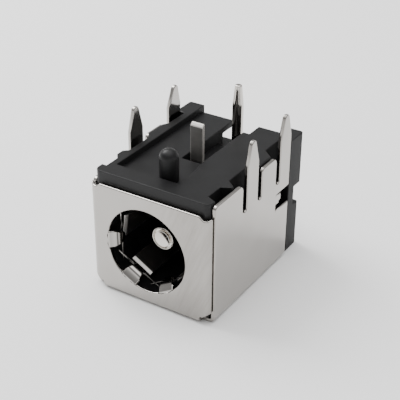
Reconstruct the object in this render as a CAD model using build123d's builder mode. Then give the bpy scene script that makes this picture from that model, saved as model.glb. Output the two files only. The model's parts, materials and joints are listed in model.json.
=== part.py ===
from build123d import *
from math import atan2, cos, radians, sin, tan
import os

# A board-mount DC power jack with a folded sheet-metal shield, lying on the flat base of
# the shield with its solder legs up, as it would lie on a bench.
# X runs across the jack, +Y into the socket from its mating face, +Z up to the board side.
# The origin is on the floor, midway between the side panels and midway along the jack.
# Depths are counted from the mating face, which is the outside of the front panel.

# Plug axis
axis_x = -0.27
axis_z = 4.13

# Shield, one folded sheet
sheet = 0.30
shield_width = 9.50
shield_length = 10.40
front_height = 8.20
side_height = 8.85
left_front_tab = 8.20
base_bend = 0.45
curl_radius = 0.65
curl_angle = 66.0
seam_gap = 0.13
curl_foot = 0.54
curl_foot_rise = 0.45
curl_notch = 0.24
bend_relief = 0.22
plug_hole_radius = 3.05

# Spring fingers round the plug hole
finger_angles = (181.0, 241.0, 301.0)
finger_width = 1.28
finger_root = 0.07
finger_bend = 0.18
finger_straight = 0.36
finger_lean = 48.0
finger_curl_radius = 1.17
finger_end_lean = 5.0
finger_tip_width = 0.70
finger_tip_round = 0.22

# Solder legs, each with its middle, its reach over the seat and how far its tip is set back,
# and the slots beside them
seat_height = 9.00
right_legs = ((5.20, 2.45, 0.00), (9.67, 2.50, 0.00))
left_legs = ((5.27, 2.50, 0.00), (9.97, 2.28, 0.14))
leg_width = 1.46
leg_taper_start = 0.80
leg_tip_radius = 0.32
slot_width = 0.50
slot_floor = 6.70
tab_front_corner = 0.30
tab_rear_corner = 0.45

# Latch window at the rear of each side panel
window_low = 4.58
window_high = 5.87
window_front = 8.55
tongue_length = 0.70
tongue_height = 0.62
tongue_slit = 0.07
lip_height = 0.34
lip_inset = 0.12
lip_setback = 0.15

# Housing, one moulding
fit_gap = 0.02
rear_wall = 11.63
rear_left = 12.40
rear_reach = 12.65
column_front = 10.78
ear_overhang_left = 0.10
ear_setback_right = 0.20
ear_inner_left = 3.61
ear_inner_right = 3.45
ear_low = 5.05
foot_high = 3.55
foot_reach = 12.42
housing_corner = 0.45
edge_round = 0.22
lower_bevel = 0.16

# Side grooves of the housing: front, rear, depth, slope in front, slope behind
left_grooves = (
    (1.20, 2.85, 0.35, 0.00, 0.45),
    (3.45, 6.55, 0.35, 0.32, 0.50),
    (8.25, column_front, 0.27, 0.42, 0.00),
)
right_grooves = (
    (0.98, 3.05, 0.69, 0.32, 0.35),
    (3.20, 6.45, 0.65, 0.54, 0.50),
    (8.05, column_front, 0.74, 0.65, 0.00),
)

# Board side of the housing
recess_depth = 0.45
recess_left = -3.61
recess_front = 1.67
recess_right = 1.45
channel_left = -0.97
channel_right = 1.03
channel_front = 5.43
channel_floor = 7.55
channel_shoulder = 4.75
pocket_front = 10.28
pocket_right = 1.52
pocket_floor = 7.00
undercut_left = -2.00
undercut_front = 10.93
undercut_roof = 8.08

# Locating peg
peg_x = 0.00
peg_y = 2.49
peg_radius = 0.66
peg_shoulder = 10.11

# Barrel cavity
barrel_radius = 3.20
barrel_depth = 7.35
throat_radius = 2.92
throat_depth = 9.80

# Centre pin
pin_radius = 0.85
pin_front = 1.95
pin_step = 0.07
pin_disc_radius = 0.60
pin_groove_radius = 0.74
pin_groove_depth = 0.16
pin_nose = 0.07
pin_length = 8.67
shank_radius = 0.62
shoulder_gap = 0.05
tail_radius = 0.41
tail_y = 11.73
tail_bend = 0.60
tail_taper_start = 10.17
tail_top = 11.73
tail_tip_radius = 0.26
tail_round = 0.12

# Sleeve contact: a ring with spring arms and a solder blade
ring_radius = 3.12
contact_sheet = 0.22
ring_front = 6.30
ring_length = 0.90
arm_angles = (172.0, 240.0, 318.0)
arm_reach = 2.64
arm_front = 1.70
arm_width = 1.78
flare_length = 0.28
flare_rise = 0.18
blade_left = -0.91
blade_width = 1.00
blade_front = 6.42
blade_sheet = 0.30
blade_top = 10.80
blade_chamfer = 0.20
blade_lap = 0.26

# Values worked out from the sizes above
half_width = shield_width / 2
inner_half = half_width - sheet
body_half = inner_half - fit_gap
body_front = sheet + fit_gap
flat_half = half_width - curl_radius
seam_y = curl_radius - curl_radius * cos(radians(curl_angle))
side_front = seam_y + seam_gap
slot_top = slot_floor + slot_width / 2
tongue_top = window_high - tongue_slit
ear_left = half_width + ear_overhang_left
ear_right = half_width - ear_setback_right
recess_floor = seat_height - recess_depth
rim_front = pin_front + pin_step
pin_shoulder = throat_depth - shoulder_gap
flare_angle = atan2(flare_rise, flare_length)
middle = rear_reach / 2
mid_quarter = radians(45)
through = 40.0
sliver = 0.001


def level(height):
    """Return the level plane at a height, with its own y counted from the mating face."""
    return Plane((0, -middle, height))


def across(x):
    """Return the plane that faces +X at x: its own x is the depth from the mating face."""
    return Plane(origin=(x, -middle, 0), x_dir=(0, 1, 0), z_dir=(1, 0, 0))


def facing_front(depth):
    """Return the plane that faces the plug at a depth behind the mating face."""
    return Plane(origin=(0, depth - middle, 0), x_dir=(1, 0, 0), z_dir=(0, -1, 0))


def spoke(angle):
    """Return the plane through the plug axis with its own x outwards at the angle and y along +Y."""
    outwards = (cos(radians(angle)), 0, sin(radians(angle)))
    sideways = (-sin(radians(angle)), 0, cos(radians(angle)))
    return Plane(origin=(axis_x, -middle, axis_z), x_dir=outwards, z_dir=sideways)


def leg_corners(leg):
    """Return the corners of a solder leg, from the left of its tip round to the right."""
    centre, reach, setback = leg
    half = leg_width / 2
    taper = seat_height + leg_taper_start
    tip = seat_height + reach - leg_tip_radius
    lean = atan2(half - leg_tip_radius, tip - taper)
    side = leg_tip_radius * cos(lean)
    shoulder = tip + leg_tip_radius * sin(lean)
    base = slot_floor - slot_width
    return [
        (centre + setback - side, shoulder),
        (centre - half, taper),
        (centre - half, base),
        (centre + half, base),
        (centre + half, taper),
        (centre + setback + side, shoulder),
    ]


def leg_end(leg):
    """Return the highest point of a solder leg."""
    centre, reach, setback = leg
    return (centre + setback, seat_height + reach)


def slot_centres(legs):
    """Return where the three slots beside the legs of one side are."""
    beside = (leg_width + slot_width) / 2
    return (legs[0][0] - beside, legs[0][0] + beside, legs[1][0] - beside)


def panel_rear(legs):
    """Return where one side panel ends, which is never in front of its rear leg."""
    return max(shield_length, legs[1][0] + leg_width / 2)


def finger_point(radius, lean):
    """Return the point of the curled part of a finger at a radius, where the sheet leans so much."""
    start = radians(finger_lean)
    root = plug_hole_radius - finger_root
    centre_x = root - finger_straight * sin(start) + finger_curl_radius * cos(start)
    centre_y = finger_straight * cos(start) + finger_curl_radius * sin(start)
    return (centre_x - radius * cos(radians(lean)), centre_y - radius * sin(radians(lean)))


def groove_corners(groove, side):
    """Return the corners of one upright groove in the left (-1) or right (1) side."""
    front, rear, depth, front_slope, rear_slope = groove
    return [
        (side * (body_half + depth), front - front_slope),
        (side * body_half, front),
        (side * (body_half - depth), front + front_slope),
        (side * (body_half - depth), rear - rear_slope),
        (side * body_half, rear),
        (side * (body_half + depth), rear + rear_slope),
    ]


# One spring finger of the shield, leaning in towards the plug axis and curled at its end
with BuildPart() as finger:
    root = plug_hole_radius - finger_root
    lean = radians(finger_lean)
    back_x = root + sheet * (cos(lean) - (1 - sin(lean)) * tan(lean))
    inner_curl = finger_curl_radius
    outer_curl = finger_curl_radius - sheet
    half_lean = (finger_lean + finger_end_lean) / 2
    finger_end = finger_point(outer_curl, finger_end_lean)[1]
    with BuildSketch() as finger_profile:
        with BuildLine():
            Polyline(
                (plug_hole_radius + sheet, 0),
                (root, 0),
                finger_point(inner_curl, finger_lean),
            )
            ThreePointArc(
                finger_point(inner_curl, finger_lean),
                finger_point(inner_curl, half_lean),
                finger_point(inner_curl, finger_end_lean),
            )
            Line(finger_point(inner_curl, finger_end_lean), finger_point(outer_curl, finger_end_lean))
            ThreePointArc(
                finger_point(outer_curl, finger_end_lean),
                finger_point(outer_curl, half_lean),
                finger_point(outer_curl, finger_lean),
            )
            Polyline(
                finger_point(outer_curl, finger_lean),
                (back_x, sheet),
                (plug_hole_radius + sheet, sheet),
                (plug_hole_radius + sheet, 0),
            )
        make_face()
        front_bend = finger_profile.vertices().sort_by_distance((root, 0))[0]
        fillet(front_bend, finger_bend)
    extrude(amount=finger_width / 2, both=True)
    with BuildSketch(Plane.YZ) as finger_plan:
        with BuildLine():
            Polyline(
                (-sheet, finger_width / 2),
                (sheet, finger_width / 2),
                (finger_end, finger_tip_width / 2),
                (finger_end, -finger_tip_width / 2),
                (sheet, -finger_width / 2),
                (-sheet, -finger_width / 2),
                close=True,
            )
        make_face()
        fillet(finger_plan.vertices().sort_by_distance((finger_end, 0))[:2], finger_tip_round)
    extrude(amount=through, both=True, mode=Mode.INTERSECT)

# Shield
with BuildPart() as shield:
    with BuildSketch(facing_front(side_front)) as tray_profile:
        Rectangle(shield_width, base_bend, align=(Align.CENTER, Align.MIN))
        fillet(tray_profile.vertices().group_by(Axis.Y)[0], base_bend - sliver)
        with BuildSketch(mode=Mode.SUBTRACT) as tray_inside:
            with Locations((0, sheet)):
                Rectangle(2 * inner_half, base_bend, align=(Align.CENTER, Align.MIN))
            fillet(tray_inside.vertices().group_by(Axis.Y)[0], base_bend - sheet)
    extrude(amount=side_front - shield_length)
    sides = ((inner_half, right_legs, side_height), (-half_width, left_legs, left_front_tab))
    for face_x, legs, front_tab in sides:
        rear = panel_rear(legs)
        slots = slot_centres(legs)
        tabs = (
            (side_front, slots[0] - slot_width / 2, front_tab),
            (slots[1] + slot_width / 2, slots[2] - slot_width / 2, side_height),
        )
        with BuildSketch(across(face_x)):
            with Locations(((side_front + rear) / 2, (base_bend + slot_top) / 2)):
                Rectangle(rear - side_front, slot_top - base_bend)
            for start, end, top in tabs:
                with BuildSketch() as tab:
                    with Locations(((start + end) / 2, (slot_top + top) / 2)):
                        Rectangle(end - start, top - slot_top)
                    tab_corners = tab.vertices().group_by(Axis.Y)[-1].sort_by(Axis.X)
                    fillet(tab_corners[0], tab_front_corner)
                    fillet(tab.vertices().group_by(Axis.Y)[-1].sort_by(Axis.X)[-1], tab_rear_corner)
            for leg in legs:
                corners = leg_corners(leg)
                with BuildLine():
                    Polyline(*corners)
                    ThreePointArc(corners[-1], leg_end(leg), corners[0])
                make_face()
            with Locations(*[(y, slot_floor + slot_width / 2) for y in slots]):
                Circle(slot_width / 2, mode=Mode.SUBTRACT)
            with Locations(((window_front + rear) / 2, (window_low + window_high) / 2)):
                Rectangle(rear - window_front, window_high - window_low, mode=Mode.SUBTRACT)
        extrude(amount=sheet)
    # front panel with the bend that joins it to the base
    with BuildSketch(facing_front(0)):
        with Locations((0, base_bend)):
            bent_width = 2 * (flat_half - bend_relief)
            Rectangle(bent_width, front_height - base_bend, align=(Align.CENTER, Align.MIN))
        with Locations((0, curl_foot)):
            Rectangle(2 * flat_half, front_height - curl_foot, align=(Align.CENTER, Align.MIN))
    extrude(amount=-sheet)
    with BuildSketch(across(0)) as front_bend_profile:
        Rectangle(side_front + sheet, base_bend, align=(Align.MIN, Align.MIN))
        fillet(front_bend_profile.vertices().sort_by_distance((0, 0))[0], base_bend - sliver)
        with BuildSketch(mode=Mode.SUBTRACT) as bend_inside:
            with Locations((sheet, sheet)):
                Rectangle(side_front + sheet, base_bend, align=(Align.MIN, Align.MIN))
            fillet(bend_inside.vertices().sort_by_distance((sheet, sheet))[0], base_bend - sheet)
    extrude(amount=flat_half - bend_relief, both=True)
    # curls round the two upright corners
    for side in (-1, 1):
        with BuildSketch(level(curl_foot)):
            start_angle = -90 if side > 0 else -90 - curl_angle
            with BuildLine():
                curl_centre = (side * flat_half, curl_radius)
                outer = CenterArc(curl_centre, curl_radius, start_angle, curl_angle)
                inner = CenterArc(curl_centre, curl_radius - sheet, start_angle, curl_angle)
                Line(outer @ 0, inner @ 0)
                Line(outer @ 1, inner @ 1)
            make_face()
        extrude(amount=front_height - curl_foot)
        # the foot of the curl rises towards the seam, and its top has a bend relief
        with BuildSketch(facing_front(0)):
            with BuildLine():
                Polyline(
                    (side * flat_half, curl_foot),
                    (side * half_width, curl_foot + curl_foot_rise),
                    (side * half_width, curl_foot),
                    close=True,
                )
            make_face()
            with BuildLine():
                Polyline(
                    (side * (flat_half - curl_notch), front_height),
                    (side * flat_half, front_height - curl_notch),
                    (side * (flat_half + curl_radius / 2), front_height - curl_notch),
                    (side * half_width, front_height),
                    close=True,
                )
            make_face()
        extrude(amount=-side_front, mode=Mode.SUBTRACT)
    # plug hole
    with BuildSketch(facing_front(0)):
        with Locations((axis_x, axis_z)):
            Circle(plug_hole_radius)
    extrude(amount=-2 * sheet, mode=Mode.SUBTRACT)
    for angle in finger_angles:
        with Locations(spoke(angle)):
            add(finger.part)
    # latch tongue in each window, with its lower lip set inwards over the groove of the housing
    for side in (-1, 1):
        outer_face = side * half_width
        fold = window_high - tongue_height
        with BuildSketch(facing_front(window_front - sheet)):
            with BuildLine():
                Polyline(
                    (outer_face, tongue_top),
                    (outer_face, fold),
                    (outer_face - side * sheet, fold),
                    (outer_face - side * sheet, tongue_top),
                    close=True,
                )
            make_face()
        extrude(amount=-(tongue_length + sheet))
        with BuildSketch(facing_front(window_front + lip_setback)):
            with BuildLine():
                Polyline(
                    (outer_face - side * lip_inset, fold),
                    (outer_face - side * lip_inset, fold - lip_height),
                    (outer_face - side * (lip_inset + sheet), fold - lip_height),
                    (outer_face - side * sheet, fold + lip_inset),
                    close=True,
                )
            make_face()
        extrude(amount=lip_setback - tongue_length)
shield.part.label = "shield"

# Housing
with BuildPart() as housing:
    with BuildSketch(level(sheet)) as plan:
        with Locations((0, body_front)):
            Rectangle(2 * body_half, rear_wall - body_front, align=(Align.CENTER, Align.MIN))
        fillet(plan.vertices().group_by(Axis.Y)[0], housing_corner)
    extrude(amount=seat_height - sheet)
    lower_edges = housing.edges().group_by(Axis.Z)[0]
    chamfer(lower_edges.filter_by_position(Axis.Y, -middle, rear_wall - middle - sliver), lower_bevel)
    with BuildSketch(level(sheet)):
        for side, grooves in ((-1, left_grooves), (1, right_grooves)):
            for groove in grooves:
                with BuildLine():
                    Polyline(*groove_corners(groove, side), close=True)
                make_face()
    extrude(amount=seat_height, mode=Mode.SUBTRACT)
    # rear part behind the shield, down to the floor
    rear_start = panel_rear(left_legs) + fit_gap
    with BuildSketch(level(0)):
        with Locations((-ear_inner_left, rear_start)):
            Rectangle(channel_left + ear_inner_left, rear_left - rear_start, align=(Align.MIN, Align.MIN))
        with Locations((-ear_inner_left, rear_start)):
            Rectangle(ear_inner_left + ear_inner_right, rear_wall - rear_start, align=(Align.MIN, Align.MIN))
    extrude(amount=recess_floor)
    with BuildSketch(level(0)):
        with Locations((-ear_left, column_front)):
            Rectangle(ear_left + ear_right, rear_wall - column_front, align=(Align.MIN, Align.MIN))
    extrude(amount=seat_height)
    # ears above and feet below, behind the rear wall
    for low, high, reach in ((0, foot_high, foot_reach), (ear_low, seat_height, rear_reach)):
        with BuildSketch(level(low)) as ears:
            with Locations((-ear_left, column_front)):
                Rectangle(ear_left - ear_inner_left, reach - column_front, align=(Align.MIN, Align.MIN))
            with Locations((ear_inner_right, column_front)):
                Rectangle(ear_right - ear_inner_right, reach - column_front, align=(Align.MIN, Align.MIN))
            outer_corners = ears.vertices().group_by(Axis.Y)[-1].group_by(Axis.X)
            fillet(outer_corners[0] + outer_corners[-1], edge_round)
        extrude(amount=high - low)
    # recess on the board side, open at the rear
    with BuildSketch(level(recess_floor)):
        with BuildLine():
            Polyline(
                (recess_left, recess_front),
                (recess_right, recess_front),
                (channel_right, channel_shoulder),
                (channel_right, through),
                (recess_left, through),
                close=True,
            )
        make_face()
    extrude(amount=seat_height, mode=Mode.SUBTRACT)
    # contact channel and the rear pocket that it runs into
    with BuildSketch(level(channel_floor)):
        with Locations((channel_left, channel_front)):
            Rectangle(channel_right - channel_left, rear_reach - channel_front, align=(Align.MIN, Align.MIN))
    extrude(amount=seat_height, mode=Mode.SUBTRACT)
    with BuildSketch(level(pocket_floor)):
        with Locations((channel_left, pocket_front)):
            Rectangle(pocket_right - channel_left, rear_reach - pocket_front, align=(Align.MIN, Align.MIN))
    extrude(amount=seat_height, mode=Mode.SUBTRACT)
    with BuildSketch(level(pocket_floor)):
        with Locations((undercut_left, undercut_front)):
            Rectangle(channel_left - undercut_left, rear_reach - undercut_front, align=(Align.MIN, Align.MIN))
    extrude(amount=undercut_roof - pocket_floor, mode=Mode.SUBTRACT)
    # groove for the tail of the centre pin
    with BuildSketch(level(axis_z - tail_radius - fit_gap)):
        with Locations((axis_x, tail_y - tail_radius - tail_bend)):
            groove_width = 2 * (tail_radius + fit_gap)
            Rectangle(groove_width, rear_reach, align=(Align.CENTER, Align.MIN))
    extrude(amount=pocket_floor - axis_z + tail_radius + 2 * fit_gap, mode=Mode.SUBTRACT)
    # barrel cavity, throat and the bore that holds the pin
    bores = (
        (barrel_radius, barrel_depth),
        (throat_radius, throat_depth),
        (shank_radius + fit_gap, rear_wall),
    )
    for radius, depth in bores:
        with BuildSketch(facing_front(0)):
            with Locations((axis_x, axis_z)):
                Circle(radius)
        extrude(amount=-depth, mode=Mode.SUBTRACT)
    # slot that the solder blade passes through
    with BuildSketch(level(axis_z)):
        with Locations((blade_left - fit_gap, blade_front - fit_gap)):
            Rectangle(blade_width + 2 * fit_gap, blade_sheet + 2 * fit_gap, align=(Align.MIN, Align.MIN))
    extrude(amount=seat_height - axis_z, mode=Mode.SUBTRACT)
    # locating peg with a domed end
    with BuildSketch(across(peg_x)):
        with BuildLine():
            Polyline(
                (peg_y, recess_floor),
                (peg_y + peg_radius, recess_floor),
                (peg_y + peg_radius, peg_shoulder),
            )
            ThreePointArc(
                (peg_y + peg_radius, peg_shoulder),
                (peg_y + peg_radius * cos(mid_quarter), peg_shoulder + peg_radius * sin(mid_quarter)),
                (peg_y, peg_shoulder + peg_radius),
            )
            Line((peg_y, peg_shoulder + peg_radius), (peg_y, recess_floor))
        make_face()
    revolve(axis=Axis((peg_x, peg_y - middle, 0), (0, 0, 1)))
housing.part.label = "housing"

# Centre pin with its solder tail turned up behind the housing
with BuildPart() as centre_pin:
    with BuildSketch(level(axis_z)):
        with BuildLine():
            Polyline(
                (axis_x, pin_front),
                (axis_x + pin_disc_radius, pin_front),
                (axis_x + pin_disc_radius, rim_front + pin_groove_depth),
                (axis_x + pin_groove_radius, rim_front + pin_groove_depth),
                (axis_x + pin_groove_radius, rim_front),
                (axis_x + pin_radius - pin_nose, rim_front),
            )
            ThreePointArc(
                (axis_x + pin_radius - pin_nose, rim_front),
                (axis_x + pin_radius - pin_nose * (1 - cos(mid_quarter)),
                 rim_front + pin_nose * (1 - sin(mid_quarter))),
                (axis_x + pin_radius, rim_front + pin_nose),
            )
            Polyline(
                (axis_x + pin_radius, rim_front + pin_nose),
                (axis_x + pin_radius, pin_shoulder),
                (axis_x + shank_radius, pin_shoulder),
                (axis_x + shank_radius, pin_front + pin_length),
                (axis_x, pin_front + pin_length),
                (axis_x, pin_front),
            )
        make_face()
    revolve(axis=Axis((axis_x, -middle, axis_z), (0, 1, 0)))
    with BuildLine(across(axis_x)) as tail_path:
        FilletPolyline(
            (pin_front + pin_length - tail_radius, axis_z),
            (tail_y, axis_z),
            (tail_y, tail_taper_start),
            radius=tail_bend,
        )
    with BuildSketch(facing_front(pin_front + pin_length - tail_radius)):
        with Locations((axis_x, axis_z)):
            Circle(tail_radius)
    sweep(path=tail_path.line)
    with BuildSketch(level(tail_taper_start)):
        with Locations((axis_x, tail_y)):
            Circle(tail_radius)
    with BuildSketch(level(tail_top)):
        with Locations((axis_x, tail_y)):
            Circle(tail_tip_radius)
    loft()
    fillet(centre_pin.edges().group_by(Axis.Z)[-1], tail_round)
centre_pin.part.label = "centre_pin"

# Sleeve contact: ring inside the barrel, three spring arms and the solder blade
with BuildPart() as sleeve_contact:
    with BuildSketch(facing_front(ring_front)):
        with Locations((axis_x, axis_z)):
            Circle(ring_radius)
            Circle(ring_radius - contact_sheet, mode=Mode.SUBTRACT)
    extrude(amount=-ring_length)
    for angle in arm_angles:
        with BuildSketch(spoke(angle)):
            with BuildLine():
                Polyline(
                    (arm_reach, ring_front + ring_length),
                    (arm_reach, arm_front),
                    (arm_reach + flare_rise, arm_front - flare_length),
                    (arm_reach + flare_rise + contact_sheet * cos(flare_angle),
                     arm_front - flare_length + contact_sheet * sin(flare_angle)),
                    (arm_reach + contact_sheet, arm_front + contact_sheet * tan(flare_angle / 2)),
                    (arm_reach + contact_sheet, ring_front + ring_length),
                    close=True,
                )
            make_face()
        extrude(amount=arm_width / 2, both=True)
    with BuildSketch(level(axis_z + ring_radius - blade_lap)):
        with Locations((blade_left, blade_front)):
            Rectangle(blade_width, blade_sheet, align=(Align.MIN, Align.MIN))
    extrude(amount=blade_top - axis_z - ring_radius + blade_lap)
    top_front = sleeve_contact.edges().group_by(Axis.Z)[-1].sort_by(Axis.Y)[0]
    chamfer(top_front, blade_chamfer)
sleeve_contact.part.label = "sleeve_contact"

# Written pieces
os.makedirs("parts", exist_ok=True)
export_step(shield.part, "parts/shield.step")
export_step(housing.part, "parts/housing.step")
export_step(centre_pin.part, "parts/centre_pin.step")
export_step(sleeve_contact.part, "parts/sleeve_contact.step")
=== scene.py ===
"""Studio picture of a shielded DC power jack that lies on its base with its solder legs up."""

import json
import logging
import math
from dataclasses import dataclass
from enum import Enum
from typing import Any, Mapping, Optional, Sequence, Union

import bpy
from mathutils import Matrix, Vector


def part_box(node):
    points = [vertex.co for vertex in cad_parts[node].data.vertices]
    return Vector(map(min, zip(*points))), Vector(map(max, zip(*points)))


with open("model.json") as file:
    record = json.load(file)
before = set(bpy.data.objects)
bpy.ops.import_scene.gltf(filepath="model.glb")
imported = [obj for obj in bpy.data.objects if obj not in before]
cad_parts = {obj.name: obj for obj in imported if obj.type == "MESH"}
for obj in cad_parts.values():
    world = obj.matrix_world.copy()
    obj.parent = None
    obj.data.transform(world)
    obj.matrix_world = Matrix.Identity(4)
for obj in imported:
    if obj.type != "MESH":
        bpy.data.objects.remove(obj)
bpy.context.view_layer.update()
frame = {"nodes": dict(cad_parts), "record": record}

log = logging.getLogger("dc_jack")

MM = 0.001
Triple = tuple[float, float, float]
Pair = tuple[float, float]
Stops = Sequence[Pair]
Number = Union[int, float]

# A ramp that rises evenly from 0 to 1
RISE: Stops = ((0.0, 0.0), (1.0, 1.0))

# Sockets of a colour Mix node, which share their names with those for its other kinds
MIX_FACTOR = 0
MIX_FIRST = 6
MIX_SECOND = 7
MIX_RESULT = 2


def mount_mm(name: str) -> Triple:
    """Return the place of one of the record's mounts in millimetres."""
    place = next(mount["pos_m"] for mount in frame["record"]["mounts"] if mount["name"] == name)
    return tuple(axis / MM for axis in place)


# Where the plug's axis meets the face of the front panel, and how far forward the centre pin comes
SOCKET_MM = mount_mm("barrel_socket")
PIN_FRONT_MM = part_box("centre_pin")[0].y / MM


class Sheen(Enum):
    """How a metal surface was left by its maker, as the fineness of its grain along X, Y and Z."""

    ROLLED = (6.0, 0.5, 1.0)
    TURNED = (1.0, 9.0, 1.0)
    STAMPED = (3.0, 3.0, 0.4)


@dataclass(frozen=True)
class Noise:
    """One kind of smooth noise: features per unit of place, finer layers and their strength."""

    scale: float
    detail: float
    rough: float = 0.5


class Reading:
    """A shader socket that can be used in written maths."""

    def __init__(self, graph: "Graph", socket: bpy.types.NodeSocket) -> None:
        """Keep the socket and the graph that it belongs to.

        Args:
            graph: The graph that new Math nodes go into.
            socket: The output socket that carries the reading.
        """
        self.graph = graph
        self.socket = socket

    def _maths(self, operation: str, first: Any, second: Any) -> "Reading":
        """Add one Math node.

        Args:
            operation: The Math node's operation.
            first: The first value or link.
            second: The second value or link.

        Returns:
            The node's result.
        """
        return self.graph.node("ShaderNodeMath", {"operation": operation}, {0: first, 1: second})

    def __add__(self, other: Union["Reading", Number]) -> "Reading":
        """Return this plus other."""
        return self._maths("ADD", self, other)

    def __radd__(self, other: Number) -> "Reading":
        """Return other plus this."""
        return self._maths("ADD", other, self)

    def __sub__(self, other: Union["Reading", Number]) -> "Reading":
        """Return this minus other."""
        return self._maths("SUBTRACT", self, other)

    def __rsub__(self, other: Number) -> "Reading":
        """Return other minus this."""
        return self._maths("SUBTRACT", other, self)

    def __mul__(self, other: Union["Reading", Number]) -> "Reading":
        """Return this times other."""
        return self._maths("MULTIPLY", self, other)

    def __rmul__(self, other: Number) -> "Reading":
        """Return other times this."""
        return self._maths("MULTIPLY", other, self)

    def __pow__(self, other: Number) -> "Reading":
        """Return this to the power other."""
        return self._maths("POWER", self, other)

    def over(self, limit: Number) -> "Reading":
        """Return 1 where this is over a limit and 0 elsewhere."""
        return self._maths("GREATER_THAN", self, limit)

    def under(self, limit: Number) -> "Reading":
        """Return 1 where this is under a limit and 0 elsewhere."""
        return self._maths("LESS_THAN", self, limit)


class Graph:
    """The node tree of one material, of the world or of one choice of edges."""

    def __init__(self, tree: bpy.types.NodeTree) -> None:
        """Start from an empty tree.

        Args:
            tree: The node tree to fill.
        """
        self.tree = tree
        tree.nodes.clear()

    def node(
        self,
        kind: str,
        settings: Optional[Mapping[str, Any]] = None,
        inputs: Optional[Mapping[Union[str, int], Any]] = None,
        output: Union[str, int] = 0,
    ) -> Optional[Reading]:
        """Add one node, with its settings first and then its sockets.

        Args:
            kind: The node's type.
            settings: Its properties; "stops" gives the stops of a ramp.
            inputs: Values or readings for its sockets, by name or number.
            output: The output that is returned.

        Returns:
            The chosen output as a reading, or None for a node that ends a tree.
        """
        made = self.tree.nodes.new(kind)
        for name, value in (settings or {}).items():
            if name == "stops":
                self._stops(made.color_ramp, value)
            else:
                setattr(made, name, value)
        for name, value in (inputs or {}).items():
            if isinstance(value, Reading):
                self.tree.links.new(value.socket, made.inputs[name])
            else:
                made.inputs[name].default_value = value
        return Reading(self, made.outputs[output]) if len(made.outputs) else None

    @staticmethod
    def _stops(ramp: bpy.types.ColorRamp, stops: Stops) -> None:
        """Give a ramp grey stops.

        Args:
            ramp: The ramp to change.
            stops: Pairs of a place and a grey value.
        """
        while len(ramp.elements) < len(stops):
            ramp.elements.new(0.5)
        for element, (place, grey) in zip(ramp.elements, stops):
            element.position = place
            element.color = (grey, grey, grey, 1.0)

    def place_mm(self, stretch: Triple = (1.0, 1.0, 1.0)) -> Reading:
        """Return the place on the object in millimetres.

        Args:
            stretch: How much each axis is multiplied by, for grain that runs one way.

        Returns:
            A vector reading.
        """
        where = self.node("ShaderNodeTexCoord", output="Object")
        scale = tuple(axis / MM for axis in stretch)
        return self.node("ShaderNodeVectorMath", {"operation": "MULTIPLY"}, {0: where, 1: scale})

    def part_of(self, vector: Reading, axis: str) -> Reading:
        """Return one axis of a vector, "X", "Y" or "Z", as a number."""
        return self.node("ShaderNodeSeparateXYZ", {}, {"Vector": vector}, output=axis)

    def along_mm(self, axis: str) -> Reading:
        """Return the place along one axis in millimetres."""
        return self.part_of(self.place_mm(), axis)

    def off_plug_axis(self) -> Reading:
        """Return the square of the distance from the plug's axis, in square millimetres."""
        across = self.along_mm("X") - SOCKET_MM[0]
        upwards = self.along_mm("Z") - SOCKET_MM[2]
        return across**2 + upwards**2

    def facing(self, axis: str, least: float = 0.9) -> Reading:
        """Return 1 on faces that look along an axis, either way, and 0 on all others.

        Args:
            axis: "X", "Y" or "Z".
            least: The least square of the normal's share along the axis.

        Returns:
            The mask as a number.
        """
        normal = self.node("ShaderNodeNewGeometry", output="True Normal")
        return (self.part_of(normal, axis) ** 2).over(least)

    def noise(self, where: Reading, kind: Noise) -> Reading:
        """Return smooth noise from 0 to 1.

        Args:
            where: The place that it is read at.
            kind: Its fineness and its layers.

        Returns:
            The noise as a reading.
        """
        inputs = {"Vector": where, "Scale": kind.scale, "Detail": kind.detail, "Roughness": kind.rough}
        return self.node("ShaderNodeTexNoise", {}, inputs)

    def ramp(self, value: Reading, stops: Stops) -> Reading:
        """Return a reading passed through a ramp of greys.

        Args:
            value: The reading that picks the place on the ramp.
            stops: Pairs of a place and a grey value.

        Returns:
            The grey at that place.
        """
        return self.node("ShaderNodeValToRGB", {"stops": stops}, {"Fac": value})

    def blend(self, factor: Reading, first: Union[Reading, Triple], second: Triple) -> Reading:
        """Return a colour between two colours.

        Args:
            factor: 0 for the first colour and 1 for the second.
            first: The first colour.
            second: The second colour.

        Returns:
            The colour as a reading.
        """
        start = first if isinstance(first, Reading) else (*first, 1.0)
        inputs = {MIX_FACTOR: factor, MIX_FIRST: start, MIX_SECOND: (*second, 1.0)}
        return self.node("ShaderNodeMix", {"data_type": "RGBA"}, inputs, output=MIX_RESULT)

    def bump(
        self, height: Reading, depth_mm: float, strength: float, under: Optional[Reading] = None
    ) -> Reading:
        """Return a normal tilted by a height.

        Args:
            height: The height, from 0 to 1.
            depth_mm: How deep that range is.
            strength: The share of the tilt that is used.
            under: A normal that was tilted before.

        Returns:
            The normal as a reading.
        """
        inputs = {"Height": height, "Distance": depth_mm * MM, "Strength": strength}
        if under is not None:
            inputs["Normal"] = under
        return self.node("ShaderNodeBump", {}, inputs)


@dataclass(frozen=True)
class Finish:
    """A finish with a name, whose sockets each kind of finish fills."""

    name: str

    def sockets(self, graph: Graph) -> dict[str, Any]:
        """Return the values and readings for the shader's sockets, by name."""
        raise NotImplementedError

    def material(self) -> bpy.types.Material:
        """Make the finish.

        Returns:
            The material.
        """
        made = bpy.data.materials.new(self.name)
        made.use_nodes = True
        graph = Graph(made.node_tree)
        shader = graph.node("ShaderNodeBsdfPrincipled", {}, self.sockets(graph))
        graph.node("ShaderNodeOutputMaterial", {}, {"Surface": shader})
        return made


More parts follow.
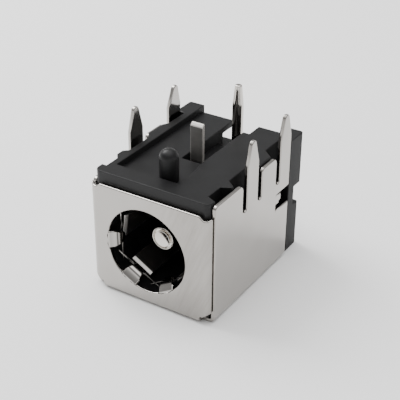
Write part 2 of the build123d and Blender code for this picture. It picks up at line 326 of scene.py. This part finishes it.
@dataclass(frozen=True)
class PlatedMetal(Finish):
    """Nickel plating, as it lies on every metal piece of the jack."""

    colour: Triple
    tint: Triple
    roughness: float
    sheen: Sheen
    cloud: Noise = Noise(0.45, 3.0)
    grain: Noise = Noise(3.0, 4.0, 0.6)
    speck: Noise = Noise(14.0, 2.0)
    tint_stops: Stops = ((0.30, 0.0), (0.75, 1.0))
    even_share: float = 0.8
    cloud_share: float = 0.3
    grain_share: float = 0.25
    grain_height: float = 0.6
    grain_depth_mm: float = 0.0015
    grain_strength: float = 0.35

    def _mark(self, graph: Graph, base: Reading, rough: Reading) -> tuple[Reading, Reading]:
        """Return the colour and the roughness with the marks of this piece, here none."""
        return base, rough

    def _form(self, graph: Graph) -> Optional[Reading]:
        """Return the normal that the grain is laid over, here the plain one."""
        return None

    def sockets(self, graph: Graph) -> dict[str, Any]:
        """Work out the plated finish.

        Args:
            graph: The material's graph.

        Returns:
            The values and readings for the shader's sockets.
        """
        cloud = graph.noise(graph.place_mm(), self.cloud)
        grain = graph.noise(graph.place_mm(self.sheen.value), self.grain)
        speck = graph.noise(graph.place_mm(), self.speck)
        base = graph.blend(graph.ramp(cloud, self.tint_stops), self.colour, self.tint)
        uneven = self.roughness * self.cloud_share * cloud + self.roughness * self.grain_share * grain
        rough = self.roughness * self.even_share + uneven
        base, rough = self._mark(graph, base, rough)
        height = grain * self.grain_height + speck * (1 - self.grain_height)
        return {
            "Base Color": base,
            "Metallic": 1.0,
            "Roughness": rough,
            "Normal": graph.bump(height, self.grain_depth_mm, self.grain_strength, self._form(graph)),
        }


@dataclass(frozen=True)
class RolledSheet(PlatedMetal):
    """The shield's sheet, with slanting streaks of painted shade on its front panel and painted
    reflection bands on its spring fingers.
    """

    sheen: Sheen = Sheen.ROLLED
    # Painted shade: slanting dark streaks on the front panel, darker towards its right
    streak_shade: Triple = (0.315, 0.298, 0.278)
    # How fast the streaks of painted shade change along their run and across it, per millimetre of X
    # and of Z
    streak_shade_along: Pair = (0.11, 0.28)
    streak_shade_across: Pair = (2.8, -1.15)
    streak_shade_noise: Noise = Noise(1.0, 4.0, 0.65)
    streak_shade_stops: Stops = ((0.35, 0.0), (0.70, 1.0))
    streak_shade_least: float = 0.45
    streak_shade_facing: float = 0.15
    streak_shade_from_mm: float = -1.0
    streak_shade_to_mm: float = 3.0
    # Colour of the painted reflection bands on the spring fingers
    painted_reflection_band: Triple = (0.10, 0.095, 0.09)
    painted_reflection_band_radius_mm: float = 3.0
    # How dark the painted reflection bands are by the millimetres behind the face of the front panel
    painted_reflection_band_stops: Stops = (
        (0.02, 0.0),
        (0.08, 0.35),
        (0.26, 0.1),
        (0.36, 0.05),
        (0.40, 1.0),
        (0.46, 1.0),
        (0.50, 0.0),
        (0.58, 0.0),
        (0.62, 1.0),
        (0.68, 1.0),
        (0.72, 0.1),
        (0.84, 0.9),
    )

    def _streak_shade(self, graph: Graph) -> Reading:
        """Return the faint slanting streaks of painted shade on the right of the front panel.

        Args:
            graph: The material's graph.

        Returns:
            How dark the painted shade is, from 0 to 1.
        """
        across = graph.along_mm("X")
        upwards = graph.along_mm("Z")
        run = across * self.streak_shade_along[0] + upwards * self.streak_shade_along[1]
        side = across * self.streak_shade_across[0] + upwards * self.streak_shade_across[1]
        slanted = graph.node("ShaderNodeCombineXYZ", {}, {"X": run, "Y": side})
        shade_streaks = graph.ramp(graph.noise(slanted, self.streak_shade_noise), self.streak_shade_stops)
        share = (across - self.streak_shade_from_mm) * (1 / (self.streak_shade_to_mm - self.streak_shade_from_mm))
        reach = graph.ramp(share, RISE)
        dark = self.streak_shade_least + (1 - self.streak_shade_least) * shade_streaks
        return dark * reach * graph.facing("Y", self.streak_shade_facing)

    def _painted_reflection_bands(self, graph: Graph) -> Reading:
        """Return the dark bands of painted reflection across the spring fingers.

        Args:
            graph: The material's graph.

        Returns:
            How dark the painted reflection bands are, from 0 to 1.
        """
        outside = graph.off_plug_axis().over(self.painted_reflection_band_radius_mm**2)
        depth = graph.along_mm("Y") - SOCKET_MM[1]
        return graph.ramp(depth, self.painted_reflection_band_stops) * (1 - outside)

    def _mark(self, graph: Graph, base: Reading, rough: Reading) -> tuple[Reading, Reading]:
        """Lay the streaks of painted shade and the bands of painted reflection over the plating.

        Args:
            graph: The material's graph.
            base: The colour of the plating.
            rough: The roughness of the plating.

        Returns:
            The colour with the painted shade and reflection, and the same roughness.
        """
        # Painted shade: slanting dark streaks on the front panel
        streak_shaded = graph.blend(self._streak_shade(graph), base, self.streak_shade)
        # Painted reflection: dark bands across the spring fingers
        return graph.blend(self._painted_reflection_bands(graph), streak_shaded, self.painted_reflection_band), rough


@dataclass(frozen=True)
class TurnedPin(PlatedMetal):
    """The centre pin's plating, over a free end that is slightly dished."""

    sheen: Sheen = Sheen.TURNED
    dish_reach_mm: float = 0.075
    dish_per_mm: float = 0.23

    def _form(self, graph: Graph) -> Reading:
        """Tilt the free end as a shallow dish.

        Args:
            graph: The material's graph.

        Returns:
            The normal as a reading.
        """
        behind = graph.along_mm("Y").over(PIN_FRONT_MM + self.dish_reach_mm)
        height = graph.off_plug_axis() * (1 - behind) * self.dish_per_mm
        return graph.bump(height, 1.0, 1.0)


@dataclass(frozen=True)
class StampedStrip(PlatedMetal):
    """The sleeve contact's plating, dull on the solder blade, with a painted dark reflection on its
    broad faces.
    """

    sheen: Sheen = Sheen.STAMPED
    blade_low_mm: float = 8.0
    dull_face: float = 0.20
    dull_edge: float = 0.40
    # Painted reflection: a dark colour on the blade's broad faces, darker towards the top
    blade_dark_reflection: Triple = (0.105, 0.103, 0.099)
    blade_dark_reflection_reach_mm: float = 4.0
    blade_dark_reflection_stops: Stops = ((0.30, 0.40), (0.80, 1.0))

    def _mark(self, graph: Graph, base: Reading, rough: Reading) -> tuple[Reading, Reading]:
        """Dull the blade, its edges more, and paint a dark reflection on its broad faces, darker
        towards the top.

        Args:
            graph: The material's graph.
            base: The colour of the plating.
            rough: The roughness of the plating.

        Returns:
            The colour with the painted reflection and the dulled roughness.
        """
        height = graph.along_mm("Z")
        blade = height.over(self.blade_low_mm)
        rise = (height - self.blade_low_mm) * (1 / self.blade_dark_reflection_reach_mm)
        fade = graph.ramp(rise, self.blade_dark_reflection_stops)
        dulled = rough + blade * (self.dull_face + self.dull_edge * graph.facing("X"))
        # Painted dark reflection on the blade's broad faces
        return graph.blend(blade * fade * graph.facing("Y"), base, self.blade_dark_reflection), dulled


@dataclass(frozen=True)
class MouldedPlastic(Finish):
    """Black thermoplastic from a fine-eroded mould."""

    name: str = "moulded_black"
    colour: Triple = (0.004, 0.004, 0.0044)
    pale: Triple = (0.007, 0.007, 0.0074)
    cloud: Noise = Noise(0.7, 3.0)
    grain: Noise = Noise(9.0, 3.0, 0.6)
    fine: Noise = Noise(26.0, 2.0)
    pale_stops: Stops = ((0.3, 0.0), (0.7, 1.0))
    roughness: float = 0.33
    cloud_roughness: float = 0.06
    grain_roughness: float = 0.08
    side_roughness: float = 0.22
    specular: float = 0.27
    grain_height: float = 0.5
    grain_depth_mm: float = 0.006
    grain_strength: float = 0.3

    def sockets(self, graph: Graph) -> dict[str, Any]:
        """Work out the moulded finish.

        Args:
            graph: The material's graph.

        Returns:
            The values and readings for the shader's sockets.
        """
        cloud = graph.noise(graph.place_mm(), self.cloud)
        grain = graph.noise(graph.place_mm(), self.grain)
        fine = graph.noise(graph.place_mm(), self.fine)
        rough = self.roughness + self.cloud_roughness * cloud + self.grain_roughness * grain
        height = grain * self.grain_height + fine * (1 - self.grain_height)
        return {
            "Base Color": graph.blend(graph.ramp(cloud, self.pale_stops), self.colour, self.pale),
            "Roughness": rough + self.side_roughness * graph.facing("X"),
            "Specular IOR Level": self.specular,
            "Normal": graph.bump(height, self.grain_depth_mm, self.grain_strength),
        }


@dataclass(frozen=True)
class Paper(Finish):
    """The plain pale surface that the jack lies on."""

    name: str = "pale_floor"
    colour: Triple = (0.93, 0.93, 0.93)
    roughness: float = 0.9
    specular: float = 0.1

    def sockets(self, graph: Graph) -> dict[str, Any]:
        """Return the paper's plain values."""
        plain = {"Roughness": self.roughness, "Specular IOR Level": self.specular}
        return {"Base Color": (*self.colour, 1.0), **plain}


@dataclass
class SolidPiece:
    """One solid of the jack with softened edges and a finish."""

    node: str
    finish: Finish
    edge_mm: float
    edge_steps: int = 3
    weld_mm: float = 0.0005
    flat_degrees: float = 0.6
    crease_degrees: float = 28.0

    def dress(self) -> bpy.types.Object:
        """Soften the piece's edges and give it its finish.

        Returns:
            The dressed object.
        """
        piece = frame["nodes"][self.node]
        self._smooth(piece)
        self._soften(piece)
        piece.data.materials.clear()
        piece.data.materials.append(self.finish.material())
        log.info("%s: %d faces, finish %s", self.node, len(piece.data.polygons), self.finish.name)
        return piece

    @staticmethod
    def _smooth(piece: bpy.types.Object) -> None:
        """Let light run smoothly over the facets.

        Args:
            piece: The object to change.
        """
        stored = piece.data.attributes.get("custom_normal")
        if stored is not None:
            piece.data.attributes.remove(stored)
        piece.data.polygons.foreach_set("use_smooth", [True] * len(piece.data.polygons))

    def _soften(self, piece: bpy.types.Object) -> None:
        """Round the outer edges a little and keep the inner corners crisp.

        Args:
            piece: The object to change.
        """
        weld = piece.modifiers.new("weld", "WELD")
        weld.merge_threshold = self.weld_mm * MM
        flats = piece.modifiers.new("flats", "DECIMATE")
        flats.decimate_type = "DISSOLVE"
        flats.angle_limit = math.radians(self.flat_degrees)
        choice = piece.modifiers.new("outer_edges", "NODES")
        choice.node_group = self._edge_choice()
        bevel = piece.modifiers.new("edges", "BEVEL")
        bevel.width = self.edge_mm * MM
        bevel.segments = self.edge_steps
        bevel.limit_method = "WEIGHT"
        bevel.use_clamp_overlap = False
        bevel.harden_normals = True
        bevel.miter_outer = "MITER_ARC"

    def _edge_choice(self) -> bpy.types.NodeTree:
        """Make the nodes that mark outer edges for rounding and inner corners as sharp.

        Returns:
            The node group.
        """
        group = bpy.data.node_groups.new(f"{self.node}_edges", "GeometryNodeTree")
        for way in ("INPUT", "OUTPUT"):
            group.interface.new_socket("Mesh", in_out=way, socket_type="NodeSocketGeometry")
        graph = Graph(group)
        mesh = graph.node("NodeGroupInput")
        limit = math.radians(self.crease_degrees)
        turn = graph.node("GeometryNodeInputMeshEdgeAngle", output="Signed Angle")
        marks = (
            ("FLOAT", "bevel_weight_edge", turn.over(limit)),
            ("BOOLEAN", "sharp_edge", turn.under(-limit)),
        )
        for kind, name, chosen in marks:
            settings = {"data_type": kind, "domain": "EDGE"}
            inputs = {"Geometry": mesh, "Name": name, "Value": chosen}
            mesh = graph.node("GeometryNodeStoreNamedAttribute", settings, inputs)
        graph.node("NodeGroupOutput", {}, {"Mesh": mesh})
        return group


@dataclass
class Studio:
    """The pale floor, the soft light and the camera."""

    eye_mm: Triple = (31.62, -50.775, 39.81)
    turn_degrees: float = 32.738
    tilt_degrees: float = 30.976
    lens_mm: float = 89.6
    sensor_mm: float = 36.0
    shift_x: float = 0.0305
    shift_y: float = 0.0371
    near_mm: float = 1.0
    far_mm: float = 10000.0
    floor_size_mm: float = 3000.0
    floor_gap_mm: float = 0.002
    # How bright the room is by the height of the look, from level at 0 to straight up at 1
    sky: Stops = ((0.0, 1.3), (0.10, 1.3), (0.20, 0.48), (0.55, 0.48), (0.80, 1.53), (1.0, 3.4))
    lamp_place_mm: Triple = (-130.0, 10.0, 150.0)
    lamp_turn_degrees: Triple = (-4.0, -40.0, 0.0)
    lamp_size_mm: float = 120.0
    lamp_watts: float = 0.40

    def build(self) -> None:
        """Make the floor, the room's light, the lamp and the camera."""
        self._lay_floor()
        self._light_room()
        self._hang_lamp()
        self._stand_camera()

    def _lay_floor(self) -> None:
        """Lay the floor just under the jack."""
        half = self.floor_size_mm * MM / 2
        mesh = bpy.data.meshes.new("floor")
        corners = [(-half, -half, 0.0), (half, -half, 0.0), (half, half, 0.0), (-half, half, 0.0)]
        mesh.from_pydata(corners, [], [(0, 1, 2, 3)])
        floor = bpy.data.objects.new("floor", mesh)
        floor.location.z = -self.floor_gap_mm * MM
        bpy.context.scene.collection.objects.link(floor)
        mesh.materials.append(Paper().material())

    def _light_room(self) -> None:
        """Surround the jack with a room that is pale at the level, dim above it and bright overhead."""
        world = bpy.data.worlds.new("studio")
        bpy.context.scene.world = world
        world.use_nodes = True
        graph = Graph(world.node_tree)
        brightest = max(light for _, light in self.sky)
        stops = [(height, light / brightest) for height, light in self.sky]
        look = graph.node("ShaderNodeTexCoord", output="Generated")
        shade = graph.ramp(graph.part_of(look, "Z"), stops)
        light = graph.node("ShaderNodeBackground", {}, {"Color": shade, "Strength": brightest})
        graph.node("ShaderNodeOutputWorld", {}, {"Surface": light})

    def _hang_lamp(self) -> None:
        """Hang one large soft lamp over the left of the jack."""
        lamp = bpy.data.lights.new("soft_lamp", "AREA")
        lamp.shape = "RECTANGLE"
        lamp.size = self.lamp_size_mm * MM
        lamp.size_y = self.lamp_size_mm * MM
        lamp.energy = self.lamp_watts
        holder = bpy.data.objects.new("soft_lamp", lamp)
        holder.location = tuple(axis * MM for axis in self.lamp_place_mm)
        holder.rotation_euler = tuple(math.radians(turn) for turn in self.lamp_turn_degrees)
        bpy.context.scene.collection.objects.link(holder)

    def _stand_camera(self) -> None:
        """Stand the camera where the photograph was taken from."""
        lens = bpy.data.cameras.new("camera")
        lens.sensor_width = self.sensor_mm
        lens.lens = self.lens_mm
        lens.shift_x = self.shift_x
        lens.shift_y = self.shift_y
        lens.clip_start = self.near_mm * MM
        lens.clip_end = self.far_mm * MM
        camera = bpy.data.objects.new("camera", lens)
        camera.location = tuple(axis * MM for axis in self.eye_mm)
        turns = (90 - self.tilt_degrees, 0.0, self.turn_degrees)
        camera.rotation_euler = tuple(math.radians(turn) for turn in turns)
        bpy.context.scene.collection.objects.link(camera)
        bpy.context.scene.camera = camera


SHEET_NICKEL = RolledSheet(
    name="nickel_sheet",
    colour=(0.415, 0.397, 0.375),
    tint=(0.445, 0.427, 0.405),
    roughness=0.10,
)
PIN_NICKEL = TurnedPin(
    name="nickel_pin",
    colour=(0.60, 0.57, 0.53),
    tint=(0.64, 0.61, 0.57),
    roughness=0.08,
)
STRIP_NICKEL = StampedStrip(
    name="nickel_strip",
    colour=(0.47, 0.452, 0.43),
    tint=(0.51, 0.492, 0.47),
    roughness=0.28,
)


@dataclass
class Jack:
    """The whole jack: shield, housing, centre pin and sleeve contact."""

    shield_edge_mm: float = 0.10
    housing_edge_mm: float = 0.06
    pin_edge_mm: float = 0.03
    contact_edge_mm: float = 0.07

    def build(self) -> list[bpy.types.Object]:
        """Dress every piece.

        Returns:
            The dressed objects.
        """
        pieces = (
            SolidPiece("shield", SHEET_NICKEL, self.shield_edge_mm),
            SolidPiece("housing", MouldedPlastic(), self.housing_edge_mm),
            SolidPiece("centre_pin", PIN_NICKEL, self.pin_edge_mm),
            SolidPiece("sleeve_contact", STRIP_NICKEL, self.contact_edge_mm),
        )
        return [piece.dress() for piece in pieces]


def main() -> None:
    """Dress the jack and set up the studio."""
    logging.basicConfig(level=logging.INFO, format="%(name)s %(message)s")
    pieces = Jack().build()
    Studio().build()
    log.info("dressed %d pieces", len(pieces))


if __name__ == "__main__":
    main()
